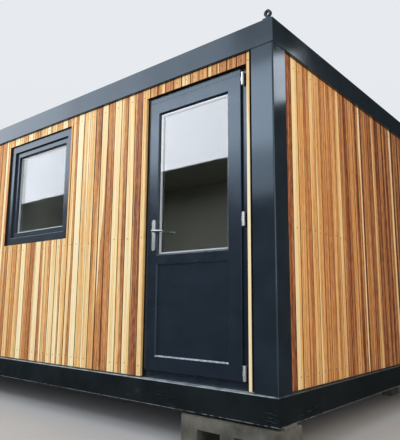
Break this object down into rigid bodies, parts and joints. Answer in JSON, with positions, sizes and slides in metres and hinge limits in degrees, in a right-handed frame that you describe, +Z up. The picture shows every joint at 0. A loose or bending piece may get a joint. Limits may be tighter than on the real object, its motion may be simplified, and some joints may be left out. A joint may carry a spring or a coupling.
{
  "type": "prefabricated container cabin",
  "caption": "Steel framed container cabin clad in vertical timber boards, with a half-glazed door and a square window, on concrete foundation blocks.",
  "frame": {"origin": "on the ground, in the middle of the plan, under the foundation blocks", "axes": "+X to the right along the front, +Y from the front into the depth, +Z up"},
  "size_m": [6, 3, 2.815],
  "materials": {
    "frame_paint": "semi-gloss anthracite coating on folded sheet steel, scuffed on the lower ring",
    "joist_steel": "dark primer on folded steel",
    "floor_board": "sealed floor board",
    "wall_sheet": "pale grey coated lining sheet",
    "roof_steel": "galvanised and coated ribbed sheet",
    "cladding_timber": "planed larch boards with sapwood and heartwood, untreated",
    "batten_timber": "planed pale softwood",
    "joinery_paint": "satin anthracite powder coating",
    "glazing": "clear float glass in a double glazed unit",
    "satin_steel": "satin stainless steel",
    "concrete": "speckled precast concrete",
    "pad_rubber": "grey levelling pad"
  },
  "bodies": {
    "cabin": {"floor_beam_front": "frame_paint", "floor_beam_rear": "frame_paint", "floor_beam_left": "frame_paint", "floor_beam_right": "frame_paint", "roof_beam_front": "frame_paint", "roof_beam_rear": "frame_paint", "roof_beam_left": "frame_paint", "roof_beam_right": "frame_paint", "corner_post_front_left": "frame_paint", "corner_post_front_right": "frame_paint", "corner_post_rear_right": "frame_paint", "corner_post_rear_left": "frame_paint", "lifting_eye_front_left": "frame_paint", "lifting_eye_front_right": "frame_paint", "lifting_eye_rear_right": "frame_paint", "lifting_eye_rear_left": "frame_paint", "floor_joists": "joist_steel", "floor_deck": "floor_board", "front_wall": "wall_sheet", "front_wall_over_door": "wall_sheet", "rear_wall": "wall_sheet", "left_wall": "wall_sheet", "right_wall": "wall_sheet", "roof_panel": "wall_sheet", "roof_sheet": "roof_steel", "front_cladding": "cladding_timber", "front_cladding_over_door": "cladding_timber", "rear_cladding": "cladding_timber", "left_cladding": "cladding_timber", "right_cladding": "cladding_timber", "door_side_batten": "batten_timber", "door_frame": "joinery_paint", "window_frame": "joinery_paint", "window_sash": "joinery_paint", "window_glass": "glazing", "hinge_frame_halves": "satin_steel", "foundation_blocks": "concrete", "levelling_pads": "pad_rubber"},
    "door_leaf": {"door_leaf_frame": "joinery_paint", "door_glass": "glazing", "door_panel": "joinery_paint", "hinge_leaf_halves": "satin_steel", "handle_plates": "satin_steel", "lock_cylinder": "satin_steel"},
    "door_handle": {"door_levers": "satin_steel"}
  },
  "joints": [
    {"name": "door_swing", "type": "hinge", "parent": "cabin", "child": "door_leaf", "pos_m": [2.732, -1.452, 1.443], "axis": [0, 0, 1], "range_deg": [0, 110]},
    {"name": "lever_turn", "type": "hinge", "parent": "door_leaf", "child": "door_handle", "pos_m": [1.927, -1.422, 1.438], "axis": [0, 1, 0], "range_deg": [0, 40], "stiffness_Nm_per_rad": 1.5, "springref_deg": -20.05}
  ]
}
